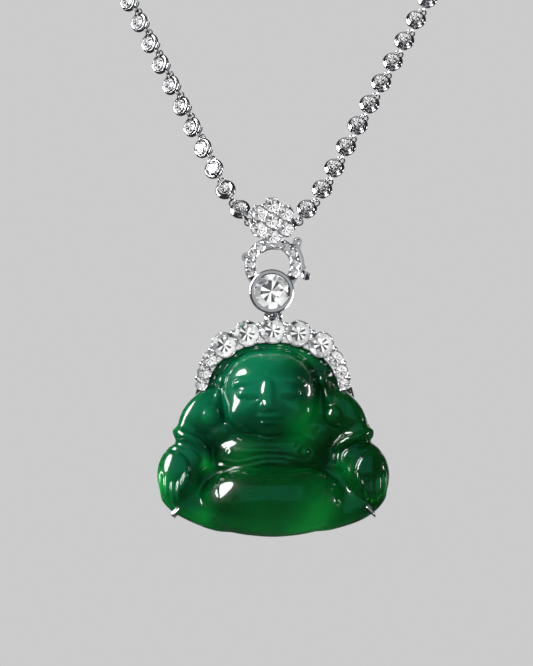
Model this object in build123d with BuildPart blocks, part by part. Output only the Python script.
from build123d import *
import os
from math import atan2, cos, degrees, hypot, radians, sin

os.makedirs("parts", exist_ok=True)

# A carved jade figure that hangs from a chain of round stone stations, in worn form.
# Millimetres. The origin is the nape of the neck, where the chain rests. +Z is up, +X is to
# the viewer's right and the pendant faces -Y.

# Driving sizes of the chain
station_d = 3.55
station_waist_d = 2.72
station_rim_d = 2.7
station_back_d = 2.0
station_front = 0.95
station_waist = 0.45
station_back = 1.35
station_stone_d = 2.0
station_stone_rise = 0.22
station_count = 86
ear_r = 0.47
ear_wire_r = 0.14
ear_reach = 1.64
ear_depth = 0.75
link_wire_r = 0.14
link_span = 1.4
clasp_length = 7.0
clasp_d = 3.2
clasp_round = 0.64

# Driving sizes of the way that the chain takes round the neck
chest_lean = 25.0
chain_dip = 0.2
bend_tight_r = 6.0
bend_wide_r = 32.0
bend_angle = 50.0
strand_angle = 65.5
strand_run = 81.0
neck_half_width = 51.0
neck_depth = 107.0
neck_height = 109.0
neck_centre = 45.0

# How far the stations on the left are turned about the strand, eased in from the bail, and
# where the faces of both sides begin and end their turn to look outwards
left_twist = 42.0
twist_from = 4.0
twist_over = 25.0
outward_from = 60.0
outward_to = 150.0

# Driving sizes of the bail and its flower
bail_bore_r = 2.3
bail_wall = 0.6
bail_width = 3.2
flower_rise = 0.7
flower_stone_d = 2.35
flower_ring_r = 2.65
flower_front = 3.9
flower_depth = 1.6
flower_bead_r = 0.28
cup_wall = 0.16
seat_gap = 0.06
bead_gap = 0.07
bead_sink = 0.08

# Driving sizes of the ring that opens under the bail
ring_drop = 6.79
ring_inner_r = 2.9
ring_outer_r = 4.87
ring_front = 2.1
ring_depth = 1.8
ring_stone_d = 1.3
ring_stone_pitch = 23.0
split_angle = 19.0
split_gap = 0.15
leaf_r = 0.85
leaf_thick = 0.5
leaf_gap = 0.1
stem_r = 0.5
stem_turn = 20.0
pin_r = 0.3
pin_gap = 0.05
pin_head_r = 0.5
pin_head = 0.2

# Driving sizes of the catch lever
lever_pivot_r = 5.85
lever_pivot_angle = 43.6
lever_end_angle = -14.0
lever_width = 0.8
lever_thick = 1.2
lever_gap = 0.12
lever_knuckle_r = 0.8
lever_bump_angle = -2.5
lever_bump_r = 0.4
tab_reach = 1.4
tab_turn = -46.0
tab_width = 1.5

# Driving sizes of the solitaire
solitaire_drop = 11.56
solitaire_d = 7.6
solitaire_stone_d = 6.0
solitaire_front = 5.1
solitaire_depth = 3.2
solitaire_rim = 1.1
solitaire_back_d = 5.0

# Driving sizes of the drop, its hinge and its crown of stones
drop_pivot = 14.85
knuckle_r = 0.75
knuckle_width = 1.5
tab_thick = 1.0
ear_plate = 0.65
crown_centre = 30.8
crown_front = 1.9
crown_depth = 2.3
crown_arc_r = 13.0
crown_stone_d = 4.1
crown_bead_r = 0.42
stone_sink = 0.25
post_r = 0.6
post_out = 0.45
post_sink = 0.5
frame_wire_r = 0.6
claw_r = 0.5
claw_bite = 0.7

# Driving sizes of the jade
jade_width = 40.0
jade_height = 33.7
jade_depth = 10.0
jade_foot = 53.2
jade_back = 3.1
slab_depth = 4.0
slab_round = 1.3
jade_gap = 0.12

# Cut stones: facets round each, heights as shares of the diameter, widths as shares of it too
STONE_FACETS = 8
CROWN_HEIGHT = 0.16
PAVILION_DEPTH = 0.4
TABLE_WIDTH = 0.57
CULET_WIDTH = 0.06
SEAT_HOLE = 0.2

# One side of the crown of stones, from the top outwards
CROWN_ROWS = [
    # angle from the vertical, share of crown_arc_r, share of crown_stone_d
    (0.0, 0.99, 1.0),
    (19.6, 1.008, 1.0),
    (38.5, 1.023, 0.985),
    (53.2, 1.033, 0.55),
    (63.6, 1.003, 0.52),
    (73.2, 0.981, 0.41),
]

# Half of the jade's outline: round the foot, up the side to the cuff and shoulder, and the hood
JADE_RUNS = [
    # share of half the width, share of the height
    [
        (0.0, 0.0),
        (0.2, 0.008),
        (0.38, 0.031),
        (0.57, 0.06),
        (0.725, 0.095),
        (0.85, 0.137),
        (0.94, 0.196),
        (0.99, 0.26),
        (1.0, 0.318),
        (0.97, 0.395),
        (0.905, 0.457),
        (0.84, 0.495),
    ],
    [
        (0.84, 0.495),
        (0.86, 0.55),
        (0.795, 0.575),
        (0.765, 0.63),
        (0.67, 0.705),
        (0.585, 0.75),
    ],
    [
        (0.585, 0.75),
        (0.545, 0.785),
        (0.49, 0.85),
        (0.41, 0.915),
        (0.265, 0.967),
        (0.0, 1.0),
    ],
]

# Rounded masses of the figure, each round about its own long axis
JADE_FORMS = [
    # name, across over half the width, up over the height, depth of the centre over the depth,
    # half length over half the width, half girth over the depth, turn from the horizontal
    ("belly", 0.0, 0.2, 0.3, 0.585, 0.69, 0.0),
    ("chest", 0.0, 0.43, 0.26, 0.43, 0.52, 0.0),
    ("head", -0.03, 0.73, 0.22, 0.41, 0.75, 0.0),
]
JADE_PAIRS = [
    ("shoulder", 0.6, 0.62, 0.2, 0.2, 0.34, 60.0),
    ("sleeve", 0.6, 0.47, 0.3, 0.29, 0.34, 42.0),
    ("cuff", 0.72, 0.49, 0.42, 0.22, 0.2, 50.0),
    ("knee", 0.68, 0.23, 0.22, 0.3, 0.5, 15.0),
    ("hand", 0.88, 0.28, 0.42, 0.16, 0.22, 85.0),
    ("lobe", 0.52, 0.64, 0.45, 0.15, 0.18, 76.0),
]

# The back frame behind the jade, one side: its bends from the crown's end down to the middle
FRAME_ROUTE = [
    # share of half the jade's width, share of its height
    (0.75, 0.5),
    (0.81, 0.18),
    (0.5, 0.085),
    (0.0, 0.045),
]
CLAWS = [
    # on the jade's edge: share across and up, outward angle; where its foot leaves the wire
    # behind the jade, in the same shares, or the same place if it grows from the crown's end
    (0.835, 0.13, -45.0, 0.79, 0.18),
    (0.6, 0.745, 50.0, 0.6, 0.745),
]


def spot(across, up, forward):
    """A point given from the swing axis under the chain: across, up and towards the viewer."""
    return Vector(across, -neck_depth - forward, -neck_height + up)


def facing(across, up, forward):
    """A plane at such a point that faces the viewer."""
    return Plane(origin=spot(across, up, forward), x_dir=(1, 0, 0), z_dir=(0, -1, 0))


def sideways(across, up, forward):
    """A plane at such a point that faces +X."""
    return Plane(origin=spot(across, up, forward), x_dir=(0, 1, 0), z_dir=(1, 0, 0))


def polar(radius, angle):
    """Across and up of a point on a circle, with its angle counted from +X."""
    return radius * cos(radians(angle)), radius * sin(radians(angle))


def disc(plane, radius, amount, mode=Mode.ADD):
    """A round plate or bar that grows from a plane."""
    with BuildSketch(plane) as outline:
        Circle(radius)
    extrude(outline.sketch, amount=amount, mode=mode)


def bar(start, end, radius, mode=Mode.ADD):
    """A round bar from one point to another."""
    way = end - start
    disc(Plane(origin=start, z_dir=way), radius, way.length, mode)


def ball(centre, radius, mode=Mode.ADD):
    """A round bead or end."""
    with Locations(centre):
        Sphere(radius, mode=mode)


def strip(plane, start, end, width, amount):
    """A flat plate with straight sides from one point of a plane to another."""
    run = hypot(end[0] - start[0], end[1] - start[1])
    turn = degrees(atan2(end[1] - start[1], end[0] - start[0]))
    middle = ((start[0] + end[0]) / 2, (start[1] + end[1]) / 2)
    with BuildSketch(plane) as outline:
        with Locations(Location((*middle, 0), (0, 0, turn))):
            Rectangle(run, width)
    extrude(outline.sketch, amount=amount)


def cone(plane, near_r, far_r, amount, mode=Mode.ADD):
    """A straight taper from one circle to another."""
    with BuildSketch(plane) as near:
        Circle(near_r)
    with BuildSketch(plane.offset(amount)) as far:
        Circle(far_r)
    loft(sections=[near.sketch, far.sketch], ruled=True, mode=mode)


def stone_room(plane, diameter):
    """Cuts the seat of a cut stone: its cone, and the way in from the front."""
    girdle = diameter / 2
    rim = girdle + seat_gap
    floor = plane.offset(-seat_gap)
    disc(floor, rim, diameter, Mode.SUBTRACT)
    cone(floor, rim, SEAT_HOLE * girdle, -PAVILION_DEPTH * diameter - seat_gap, Mode.SUBTRACT)


def facets(plane, rings):
    """A solid of flat facets through even rings, each given by its radius and height."""
    turns = [radians(360 * step / STONE_FACETS) for step in range(STONE_FACETS)]
    rows = []
    for radius, height in rings:
        row = [plane.from_local_coords((radius * cos(t), radius * sin(t), height)) for t in turns]
        rows.append(row + row[:1])
    sides = [Face(Wire.make_polygon(rows[0][:-1])), Face(Wire.make_polygon(rows[-1][:-1]))]
    for low, high in zip(rows, rows[1:]):
        for step in range(STONE_FACETS):
            corners = (low[step], low[step + 1], high[step + 1], high[step])
            sides.append(Face(Wire.make_polygon(corners)))
    add(Solid(Shell(sides)))


def cut_stone(plane, diameter):
    """A round cut stone: a table, facets above its girdle and as many below."""
    girdle = diameter / 2
    culet = (CULET_WIDTH * girdle, -PAVILION_DEPTH * diameter)
    table = (TABLE_WIDTH * girdle, CROWN_HEIGHT * diameter)
    with BuildPart() as stone:
        facets(plane, [culet, (girdle, 0), table])
    return stone.part


def nestle(first, second, gap):
    """Where a bead sits that stands the same gap off two round stones, on the outer side."""
    (ax, ay, ar), (bx, by, br) = first, second
    run = hypot(bx - ax, by - ay)
    reach_a = ar + gap
    reach_b = br + gap
    along = (reach_a**2 - reach_b**2 + run**2) / (2 * run)
    out = (reach_a**2 - along**2) ** 0.5
    ux, uy = (bx - ax) / run, (by - ay) / run
    return ax + ux * along - uy * out, ay + uy * along + ux * out


def save(piece, name):
    """Labels a finished piece and writes its file."""
    piece.label = name
    export_step(piece, f"parts/{name}.step")


def eased(value, low, high):
    """0 at low and 1 at high, with an even ease between."""
    share = min(1.0, max(0.0, (value - low) / (high - low)))
    return share * share * (3 - 2 * share)


# The way of one side of the chain, from under the bail up the chest and round to the nape
lean_y = sin(radians(chest_lean))
lean_z = cos(radians(chest_lean))


def on_chest(across, along):
    """A point of the leaning plane in which the front of the chain hangs."""
    return spot(across, along * lean_z - chain_dip, -along * lean_y)


def on_bend(radius, angle, across, along):
    """A point of an arc of the bend under the bail, about a centre in that plane."""
    return on_chest(across + radius * sin(radians(angle)), along - radius * cos(radians(angle)))


wide_across = (bend_tight_r - bend_wide_r) * sin(radians(bend_angle))
wide_along = bend_tight_r - (bend_tight_r - bend_wide_r) * cos(radians(bend_angle))
strand_way = Vector(
    cos(radians(strand_angle)),
    sin(radians(strand_angle)) * lean_y,
    sin(radians(strand_angle)) * lean_z,
)
strand_foot = on_bend(bend_wide_r, strand_angle, wide_across, wide_along)
strand_head = strand_foot + strand_way * strand_run
NECK_ROUTE = [
    # share of neck_half_width, share of neck_depth, share of neck_height
    (1.0, 0.495, 0.156),
    (0.951, 0.342, 0.096),
    (0.809, 0.204, 0.052),
    (0.588, 0.0945, 0.022),
    (0.309, 0.0243, 0.0055),
    (0.0, 0.0, 0.0),
]
neck_bends = [(x * neck_half_width, -y * neck_depth, -z * neck_height) for x, y, z in NECK_ROUTE]
with BuildLine() as route:
    ThreePointArc(
        on_bend(bend_tight_r, 0, 0, bend_tight_r),
        on_bend(bend_tight_r, bend_angle / 2, 0, bend_tight_r),
        on_bend(bend_tight_r, bend_angle, 0, bend_tight_r),
    )
    ThreePointArc(
        on_bend(bend_wide_r, bend_angle, wide_across, wide_along),
        on_bend(bend_wide_r, (bend_angle + strand_angle) / 2, wide_across, wide_along),
        strand_foot,
    )
    Line(strand_foot, strand_head)
    Spline(strand_head, *neck_bends, tangents=(strand_way, (-1, 0, 0)), tangent_scalars=(1, 1))
way_round = route.wires()[0]
side_count = station_count // 2
eye_reach = clasp_length / 2 + ear_r - ear_wire_r
station_pitch = (way_round.length - eye_reach - link_span - ear_reach) / (side_count - 0.5)


def station_frame(side, length):
    """The plane of a station: its place, its X along the chain and its Z where it faces."""
    at = way_round.position_at(length, position_mode=PositionMode.LENGTH)
    way = way_round.tangent_at(length, position_mode=PositionMode.LENGTH)
    at = Vector(side * at.X, at.Y, at.Z)
    way = Vector(way.X, side * way.Y, side * way.Z)
    face = Vector(0, -lean_z, lean_y)
    if side < 0:
        twist = left_twist * eased(length, twist_from, twist_over)
        face = face.rotate(Axis((0, 0, 0), way), twist)
    outward = Vector(at.X, at.Y + neck_centre, 0).normalized()
    share = eased(length, outward_from, outward_to)
    face = face * (1 - share) + outward * share
    face = (face - way * face.dot(way)).normalized()
    return Plane(origin=at, x_dir=way, z_dir=face)


# A station: a round bezel cup with its stone set in, and an ear at each end for the jump rings
with BuildPart() as station:
    with BuildSketch(Plane.XZ):
        with BuildLine():
            waist = (station_waist_d / 2, -station_waist)
            widest = (station_d / 2, (station_front - station_waist) / 2)
            rim = (station_rim_d / 2, station_front)
            Polyline((0, station_front), (0, -station_back), (station_back_d / 2, -station_back), waist)
            ThreePointArc(waist, widest, rim)
            Line(rim, (0, station_front))
        make_face()
    revolve(axis=Axis.Z)
    stone_floor = Plane.XY.offset(station_front - station_stone_rise)
    with BuildSketch(stone_floor) as stone_foot:
        RegularPolygon(station_stone_d / 2 + seat_gap, STONE_FACETS)
    extrude(stone_foot.sketch, amount=station_stone_rise, mode=Mode.SUBTRACT)
    station_girdle = station_stone_d / 2
    facets(stone_floor, [(station_girdle, 0), (TABLE_WIDTH * station_girdle, 2 * station_stone_rise)])
    with Locations((ear_reach, 0, -ear_depth), (-ear_reach, 0, -ear_depth)):
        Torus(ear_r, ear_wire_r, rotation=(90, 0, 0))

chain_solids = []
ears = {}
for side in (1, -1):
    for index in range(side_count):
        frame = station_frame(side, (index + 0.5) * station_pitch)
        chain_solids.append(station.part.solid().moved(frame.location))
        for end in (1, -1):
            joint = side * (index + 0.5) + end * 0.5
            hole = frame.from_local_coords(Vector(end * ear_reach, 0, -ear_depth))
            ears.setdefault(joint, []).append((hole, frame.z_dir))

# The clasp: a plain barrel across the nape with an eye at each end
with BuildPart() as chain_clasp:
    barrel = Plane(origin=(-clasp_length / 2, -ear_depth, 0), x_dir=(0, 1, 0), z_dir=(1, 0, 0))
    disc(barrel, clasp_d / 2, clasp_length)
    fillet(chain_clasp.edges().filter_by(GeomType.CIRCLE), clasp_round)
    with Locations((eye_reach, -ear_depth, 0), (-eye_reach, -ear_depth, 0)):
        Torus(ear_r, ear_wire_r)
save(chain_clasp.part, "chain_clasp")
for side in (1, -1):
    ears[side * side_count].append((Vector(side * eye_reach, -ear_depth, 0), Vector(0, 1, 0)))

# Jump rings: one through each pair of facing ears, as wide as those ears are apart
for joint in sorted(ears):
    (near, near_face), (far, far_face) = ears[joint]
    across = far - near
    ring_face = near_face + far_face
    ring_face = ring_face - across * (ring_face.dot(across) / across.dot(across))
    ring_plane = Plane(origin=(near + far) * 0.5, x_dir=across, z_dir=ring_face)
    with BuildPart(ring_plane) as jump_ring:
        Torus(across.length / 2, link_wire_r)
    chain_solids.append(jump_ring.part.solid())
save(Compound(children=chain_solids), "chain")

# Where the stones sit: across, up and radius
flower_stones = [(0.0, flower_rise, flower_stone_d / 2)]
for step in range(6):
    across, up = polar(flower_ring_r, 90 - 60 * step)
    flower_stones.append((across, up + flower_rise, flower_stone_d / 2))
flower_girdle = flower_front - stone_sink
ring_row_r = (ring_inner_r + ring_outer_r) / 2
ring_girdle = ring_front - stone_sink
upper_span = 180 - 2 * split_angle
upper_count = int(upper_span / ring_stone_pitch)
upper_angles = [90 + ring_stone_pitch * (step - (upper_count - 1) / 2) for step in range(upper_count)]
lower_first = split_angle - ring_stone_pitch / 2 - degrees(split_gap / ring_row_r)
lower_right = [lower_first - ring_stone_pitch * step for step in range(2)]
lower_angles = lower_right + [180 - angle for angle in lower_right]
crown_girdle = crown_front - stone_sink
crown_stones = []
for angle, share, size in reversed(CROWN_ROWS[1:]):
    across, up = polar(crown_arc_r * share, 90 + angle)
    crown_stones.append((across, up - crown_centre, size * crown_stone_d / 2))
for angle, share, size in CROWN_ROWS:
    across, up = polar(crown_arc_r * share, 90 - angle)
    crown_stones.append((across, up - crown_centre, size * crown_stone_d / 2))

# Hinge of the ring, behind its left split, and the pivot of the lever at its upper right
hinge_across, hinge_up = polar(ring_outer_r, 180 - split_angle)
hinge_up -= ring_drop
ring_back = ring_front - ring_depth
upper_leaf = ring_back - leaf_gap - leaf_thick
lower_leaf = upper_leaf - leaf_gap - leaf_thick
lever_across, lever_up = polar(lever_pivot_r, lever_pivot_angle)
lever_up -= ring_drop
lever_back = ring_front - lever_thick
split_turn = degrees(split_gap / 2 / ring_row_r)


def ring_arc(low, high):
    """An arc of the ring between two angles about its centre."""
    with BuildSketch(facing(0, -ring_drop, ring_back)) as band:
        with BuildLine():
            outer = CenterArc((0, 0), ring_outer_r, low, high - low)
            inner = CenterArc((0, 0), ring_inner_r, low, high - low)
            Line(outer @ 0, inner @ 0)
            Line(outer @ 1, inner @ 1)
        make_face()
    extrude(band.sketch, amount=ring_depth)


def hinge_leaf(leaf_back, turn):
    """A leaf behind the ring: its eye at the hinge, and a stem to its own arc of the ring."""
    stem = polar(ring_row_r, 180 - split_angle + turn)
    pivot = polar(ring_outer_r, 180 - split_angle)
    plate = facing(0, -ring_drop, leaf_back)
    disc(facing(hinge_across, hinge_up, leaf_back), leaf_r, leaf_thick)
    strip(plate, pivot, stem, 2 * stem_r, leaf_thick)
    disc(facing(stem[0], stem[1] - ring_drop, leaf_back), stem_r, ring_back + stem_r - leaf_back)
    disc(facing(hinge_across, hinge_up, leaf_back), pin_r + pin_gap, leaf_thick, Mode.SUBTRACT)


# The bail: its strap, the flower of stones, and the arc of the ring that stays
bore_reach = flower_ring_r + flower_stone_d
lug_thick = lever_back - leaf_gap - ring_back
with BuildPart() as bail_frame:
    disc(sideways(-bail_width / 2, 0, 0), bail_bore_r + bail_wall, bail_width)
    for across, up, stone_r in flower_stones:
        cup_r = stone_r + seat_gap + cup_wall
        disc(facing(across, up, flower_front - flower_depth), cup_r, flower_depth)
    ring_arc(split_angle + split_turn, 180 - split_angle - split_turn)
    hinge_leaf(upper_leaf, -stem_turn)
    disc(facing(lever_across, lever_up, ring_back), lever_knuckle_r, lug_thick)
    lug_foot = polar(ring_row_r, lever_pivot_angle)
    lug_head = polar(lever_pivot_r, lever_pivot_angle)
    strip(facing(0, -ring_drop, ring_back), lug_foot, lug_head, 2 * stem_r, lug_thick)
    outer_flower = flower_stones[1:] + flower_stones[1:2]
    for first, second in zip(outer_flower, outer_flower[1:]):
        gap = flower_bead_r + bead_gap
        for pair in ((first, second), (first, flower_stones[0])):
            across, up = nestle(*pair, gap)
            ball(spot(across, up, flower_front - bead_sink), flower_bead_r)
    disc(sideways(-bore_reach, 0, 0), bail_bore_r, 2 * bore_reach, Mode.SUBTRACT)
    disc(facing(lever_across, lever_up, ring_back), pin_r + pin_gap, ring_depth, Mode.SUBTRACT)
    for across, up, stone_r in flower_stones:
        stone_room(facing(across, up, flower_girdle), 2 * stone_r)
    for angle in upper_angles:
        across, up = polar(ring_row_r, angle)
        stone_room(facing(across, up - ring_drop, ring_girdle), ring_stone_d)
save(bail_frame.part, "bail_frame")
for number, (across, up, stone_r) in enumerate(flower_stones, 1):
    save(cut_stone(facing(across, up, flower_girdle), 2 * stone_r), f"bail_stone_{number}")

# The part of the ring that opens, with the solitaire's cup and the tab that carries the drop
tab_head = ring_drop + ring_row_r
solitaire_seat = facing(0, -solitaire_drop, solitaire_front - stone_sink)
solitaire_back = solitaire_front - solitaire_depth
solitaire_taper = solitaire_depth - solitaire_rim
with BuildPart() as ring_lower:
    ring_arc(180 - split_angle + split_turn, 360 + split_angle - split_turn)
    hinge_leaf(lower_leaf, stem_turn)
    cup_foot = facing(0, -solitaire_drop, solitaire_back)
    cone(cup_foot, solitaire_back_d / 2, solitaire_d / 2, solitaire_taper)
    disc(facing(0, -solitaire_drop, solitaire_front - solitaire_rim), solitaire_d / 2, solitaire_rim)
    strip(facing(0, 0, -tab_thick / 2), (0, -tab_head), (0, -drop_pivot), knuckle_width, tab_thick)
    disc(sideways(-knuckle_width / 2, -drop_pivot, 0), knuckle_r, knuckle_width)
    disc(sideways(-knuckle_width, -drop_pivot, 0), pin_r + pin_gap, 2 * knuckle_width, Mode.SUBTRACT)
    stone_room(solitaire_seat, solitaire_stone_d)
    for angle in lower_angles:
        across, up = polar(ring_row_r, angle)
        stone_room(facing(across, up - ring_drop, ring_girdle), ring_stone_d)
save(ring_lower.part, "ring_lower")
save(cut_stone(solitaire_seat, solitaire_stone_d), "solitaire_stone")

# Small stones of the ring, those that stay and those that open with it
for name, angles in (("ring_upper_stones", upper_angles), ("ring_lower_stones", lower_angles)):
    row = []
    for angle in angles:
        across, up = polar(ring_row_r, angle)
        row.append(cut_stone(facing(across, up - ring_drop, ring_girdle), ring_stone_d).solid())
    save(Compound(children=row), name)

# The catch lever: an arm round the outside of the ring, a knuckle, a bump and a thumb tab
with BuildPart() as catch_lever:
    arm_inner = ring_outer_r + lever_gap
    arm_outer = arm_inner + lever_width
    with BuildSketch(facing(0, -ring_drop, lever_back)) as arm:
        with BuildLine():
            arm_span = lever_pivot_angle - lever_end_angle
            outer = CenterArc((0, 0), arm_outer, lever_end_angle, arm_span)
            inner = CenterArc((0, 0), arm_inner, lever_end_angle, arm_span)
            Line(outer @ 0, inner @ 0)
            Line(outer @ 1, inner @ 1)
        make_face()
    extrude(arm.sketch, amount=lever_thick)
    disc(facing(lever_across, lever_up, lever_back), lever_knuckle_r, lever_thick)
    end_x, end_y = polar((arm_inner + arm_outer) / 2, lever_end_angle)
    tip_x, tip_y = polar(tab_reach - tab_width / 2, tab_turn)
    tip = (end_x + tip_x, end_y + tip_y)
    strip(facing(0, -ring_drop, lever_back), (end_x, end_y), tip, lever_width, lever_thick)
    disc(facing(tip[0], tip[1] - ring_drop, lever_back), tab_width / 2, lever_thick)
    across, up = polar(arm_outer, lever_bump_angle)
    disc(facing(across, up - ring_drop, lever_back), lever_bump_r, lever_thick)
    disc(facing(0, -ring_drop, lever_back), ring_outer_r + leaf_gap, lever_thick, Mode.SUBTRACT)
    disc(facing(lever_across, lever_up, lever_back), pin_r + pin_gap, lever_thick, Mode.SUBTRACT)
save(catch_lever.part, "catch_lever")

# Three hinge pins: of the ring, of the lever and of the drop
with BuildPart() as ring_pin:
    disc(facing(hinge_across, hinge_up, lower_leaf), pin_r, upper_leaf + leaf_thick - lower_leaf)
    disc(facing(hinge_across, hinge_up, lower_leaf - pin_gap - pin_head), pin_head_r, pin_head)
    disc(facing(hinge_across, hinge_up, lower_leaf - pin_gap), pin_r, pin_gap)
save(ring_pin.part, "ring_pin")
with BuildPart() as lever_pin:
    disc(facing(lever_across, lever_up, ring_back), pin_r, ring_front + pin_gap - ring_back)
    disc(facing(lever_across, lever_up, ring_front + pin_gap), pin_head_r, pin_head)
save(lever_pin.part, "lever_pin")
hinge_half = knuckle_width / 2 + leaf_gap + ear_plate
with BuildPart() as drop_pin:
    disc(sideways(-hinge_half, -drop_pivot, 0), pin_r, 2 * hinge_half)
save(drop_pin.part, "drop_pin")


def outline_sketch(plane, inset):
    """The jade's outline as four smooth runs, drawn in by a distance at its widest."""
    shrink = 1 - 2 * inset / jade_width
    half, middle, tall = shrink * jade_width / 2, jade_height / 2, shrink * jade_height
    rows = [[(x * half, middle + (y - 0.5) * tall) for x, y in run] for run in JADE_RUNS]
    foot, side, hood = rows
    with BuildSketch(plane) as outline:
        with BuildLine():
            Spline(*[(-x, y) for x, y in reversed(foot[1:])], *foot)
            Spline(*side)
            Spline(*hood, *[(-x, y) for x, y in reversed(hood[:-1])])
            Spline(*[(-x, y) for x, y in reversed(side)])
        make_face()
    return outline.sketch


def jade_point(across, up, forward):
    """A point given by the jade's shares across and up, and by millimetres forward."""
    return spot(across * jade_width / 2, up * jade_height - jade_foot, forward)


def frame_bars(extra, mode):
    """The posts, the wire behind the jade and the claws, each as much thicker as is asked."""
    wire_back = -jade_back - jade_gap - frame_wire_r
    claw_front = slab_depth - jade_back + jade_gap + claw_r
    end_across, end_up, end_r = crown_stones[-1]
    for side in (1, -1):
        post_across = side * (end_across + post_out)
        post_front = spot(post_across, end_up, crown_front - post_sink)
        post_end = spot(post_across, end_up, wire_back)
        bar(post_front, post_end, post_r + extra, mode)
        ball(post_end, post_r + extra, mode)
        last = post_end
        for across, up in FRAME_ROUTE:
            bend = jade_point(side * across, up, wire_back)
            bar(last, bend, frame_wire_r + extra, mode)
            ball(bend, frame_wire_r + extra, mode)
            last = bend
        for across, up, turn, foot_across, foot_up in CLAWS:
            out_x, out_z = polar(claw_r + jade_gap, turn)
            in_x, in_z = polar(-claw_bite, turn)
            edge = jade_point(side * across, up, 0)
            way_out = Vector(side * out_x, 0, out_z)
            way_in = Vector(side * in_x, 0, in_z)
            foot = jade_point(side * foot_across, foot_up, wire_back)
            back = edge + way_out + Vector(0, -wire_back, 0)
            front = edge + way_out + Vector(0, -claw_front, 0)
            tip = edge + way_in + Vector(0, -claw_front, 0)
            bends = [foot, back, front, tip]
            if foot_up == up:
                bends = [spot(post_across, end_up, claw_front), tip]
            for start, end in zip(bends, bends[1:]):
                bar(start, end, claw_r + extra, mode)
            for bend in bends:
                ball(bend, claw_r + extra, mode)


# The crown of stones: a cup for each, beads between them, ears for the hinge, the frame behind
# the jade with its posts, and four claws that hold the jade's edge
slot = knuckle_width + 2 * leaf_gap
crown_back = crown_front - crown_depth
with BuildPart() as crown_frame:
    for across, up, stone_r in crown_stones:
        disc(facing(across, up, crown_back), stone_r + seat_gap + cup_wall, crown_depth)
    for first, second in zip(crown_stones, crown_stones[1:]):
        across, up = nestle(first, second, crown_bead_r + bead_gap)
        disc(facing(across, up, crown_back), crown_bead_r, crown_depth - bead_sink)
        ball(spot(across, up, crown_front - bead_sink), crown_bead_r)
    top_up = crown_stones[len(CROWN_ROWS) - 1][1]
    for side in (1, -1):
        inner_face = side * (knuckle_width / 2 + leaf_gap)
        eye_from = min(inner_face, inner_face + side * ear_plate)
        disc(sideways(eye_from, -drop_pivot, 0), knuckle_r, ear_plate)
        middle = eye_from + ear_plate / 2
        strip(
            facing(0, 0, -tab_thick / 2 + pin_gap),
            (middle, -drop_pivot),
            (middle, top_up + crown_stone_d / 4),
            ear_plate,
            tab_thick,
        )
    frame_bars(0, Mode.ADD)
    disc(sideways(-knuckle_width, -drop_pivot, 0), pin_r + pin_gap, 2 * knuckle_width, Mode.SUBTRACT)
    disc(sideways(-slot / 2, -drop_pivot, 0), knuckle_r + leaf_gap, slot, Mode.SUBTRACT)
    for across, up, stone_r in crown_stones:
        stone_room(facing(across, up, crown_girdle), 2 * stone_r)
save(crown_frame.part, "crown_frame")
for number, (across, up, stone_r) in enumerate(crown_stones, 1):
    save(cut_stone(facing(across, up, crown_girdle), 2 * stone_r), f"crown_stone_{number:02d}")


def spheroid(across, up, depth, half_length, half_girth, turn):
    """A mass of the figure, round about its long axis."""
    centre = jade_point(across, up, depth * jade_depth - jade_back)
    way = Vector(cos(radians(turn)), 0, sin(radians(turn)))
    middle = Plane(origin=centre, x_dir=way, z_dir=(0, -1, 0))
    long, girth = half_length * jade_width / 2, half_girth * jade_depth
    with BuildSketch(middle) as half:
        with BuildLine():
            over = EllipticalCenterArc((0, 0), long, girth, 0, arc_size=180)
            Line(over @ 0, over @ 1)
        make_face()
    revolve(half.sketch, axis=Axis(centre, way))


# The jade: a slab with the figure's outline, rounded at the front edge, and the masses on it
with BuildPart() as jade_figure:
    flat_back = facing(0, -jade_foot, -jade_back)
    shoulder = outline_sketch(flat_back.offset(slab_depth - slab_round), 0)
    brow = outline_sketch(flat_back.offset(slab_depth), slab_round)
    extrude(outline_sketch(flat_back, 0), amount=slab_depth - slab_round)
    loft(sections=[shoulder, brow], ruled=True)
    for name, across, up, depth, half_length, half_girth, turn in JADE_FORMS:
        spheroid(across, up, depth, half_length, half_girth, turn)
    for name, across, up, depth, half_length, half_girth, turn in JADE_PAIRS:
        spheroid(across, up, depth, half_length, half_girth, turn)
        spheroid(-across, up, depth, half_length, half_girth, 180 - turn)
    with BuildSketch(facing(0, jade_height / 2 - jade_foot, -jade_back)) as behind:
        Rectangle(2 * jade_width, 2 * jade_height)
    extrude(behind.sketch, amount=-jade_depth, mode=Mode.SUBTRACT)
    for across, up, stone_r in crown_stones:
        cup = stone_r + seat_gap + cup_wall + jade_gap
        disc(facing(across, up, crown_back - jade_gap), cup, 2 * jade_depth, Mode.SUBTRACT)
    frame_bars(jade_gap, Mode.SUBTRACT)
save(jade_figure.part, "jade_figure")
